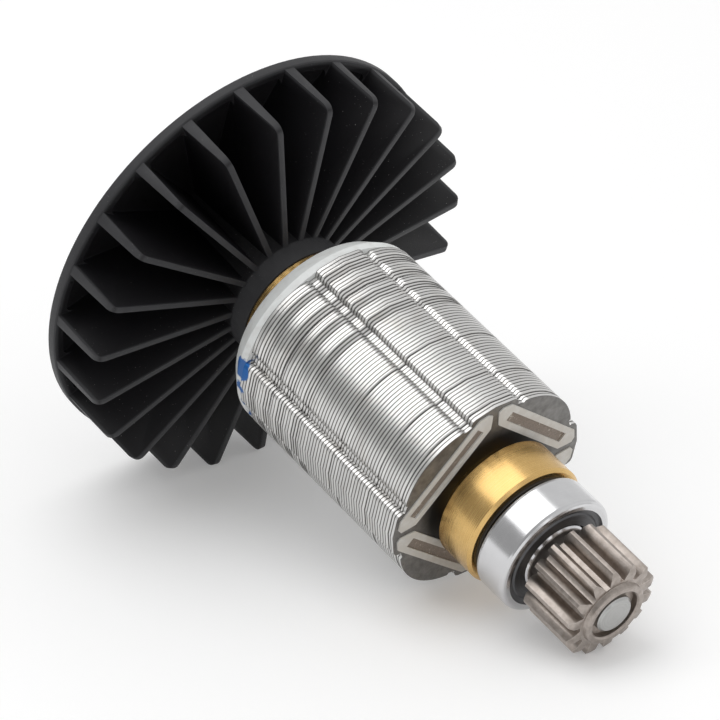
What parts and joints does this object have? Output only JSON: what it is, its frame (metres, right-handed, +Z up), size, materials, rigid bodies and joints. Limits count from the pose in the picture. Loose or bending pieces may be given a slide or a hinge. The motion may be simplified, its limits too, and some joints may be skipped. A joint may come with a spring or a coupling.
{
  "type": "motor armature",
  "caption": "Brushless motor rotor lying on its side: laminated core with buried magnets, brass rings, ball bearings, steel pinion and black radial fan.",
  "frame": {"origin": "on the surface it lies on, under the middle of the rotor's length and width", "axes": "+X runs from the fan towards the pinion, under the tilted shaft; +Z is up; the shaft axis lies in the XZ plane and falls towards the pinion"},
  "size_m": [0.0828, 0.056, 0.0554],
  "materials": {
    "shaft_steel": "fine turned",
    "lamination_steel": "stacked sheet edges, bare",
    "magnet": "dull sintered",
    "white_moulding": "matte moulded",
    "brass": "turned, satin",
    "dark_washer": "dark, matte",
    "bearing_steel": "ground, polished",
    "ball_steel": "polished",
    "cage_steel": "pressed sheet",
    "shield_steel": "dark pressed sheet",
    "pinion_steel": "cut and tumbled, warm grey",
    "black_plastic": "matte moulded, fine texture"
  },
  "bodies": {
    "rotor": {"rotor_shaft": "shaft_steel", "lamination_stack": "lamination_steel", "magnet_a": "magnet", "magnet_b": "magnet", "magnet_c": "magnet", "magnet_d": "magnet", "magnet_moulding": "white_moulding", "front_balance_ring": "brass", "front_spacer": "dark_washer", "front_inner_ring": "bearing_steel", "pinion": "pinion_steel", "rear_balance_ring": "brass", "cooling_fan": "black_plastic", "rear_inner_ring": "bearing_steel"},
    "front_outer": {"front_outer_ring": "bearing_steel", "front_shield": "shield_steel", "front_back_shield": "shield_steel"},
    "front_ball_set": {"front_balls": "ball_steel", "front_cage": "cage_steel"},
    "rear_outer": {"rear_outer_ring": "bearing_steel", "rear_shield": "shield_steel", "rear_back_shield": "shield_steel"},
    "rear_ball_set": {"rear_balls": "ball_steel", "rear_cage": "cage_steel"}
  },
  "joints": [
    {"name": "front_bearing_spin", "type": "hinge", "parent": "rotor", "child": "front_outer", "pos_m": [0.0277, 0, 0.00989], "axis": [0.9474, 0, -0.32], "continuous": true},
    {"name": "front_ball_roll", "type": "hinge", "parent": "rotor", "child": "front_ball_set", "pos_m": [0.0277, 0, 0.00989], "axis": [0.9474, 0, -0.32], "continuous": true},
    {"name": "rear_bearing_spin", "type": "hinge", "parent": "rotor", "child": "rear_outer", "pos_m": [-0.03667, 0, 0.03163], "axis": [0.9474, 0, -0.32], "continuous": true},
    {"name": "rear_ball_roll", "type": "hinge", "parent": "rotor", "child": "rear_ball_set", "pos_m": [-0.03667, 0, 0.03163], "axis": [0.9474, 0, -0.32], "continuous": true}
  ],
  "couplings": [
    {"joint": "front_ball_roll", "follows": "front_bearing_spin", "ratio": 0.66667},
    {"joint": "rear_ball_roll", "follows": "rear_bearing_spin", "ratio": 0.66667}
  ]
}
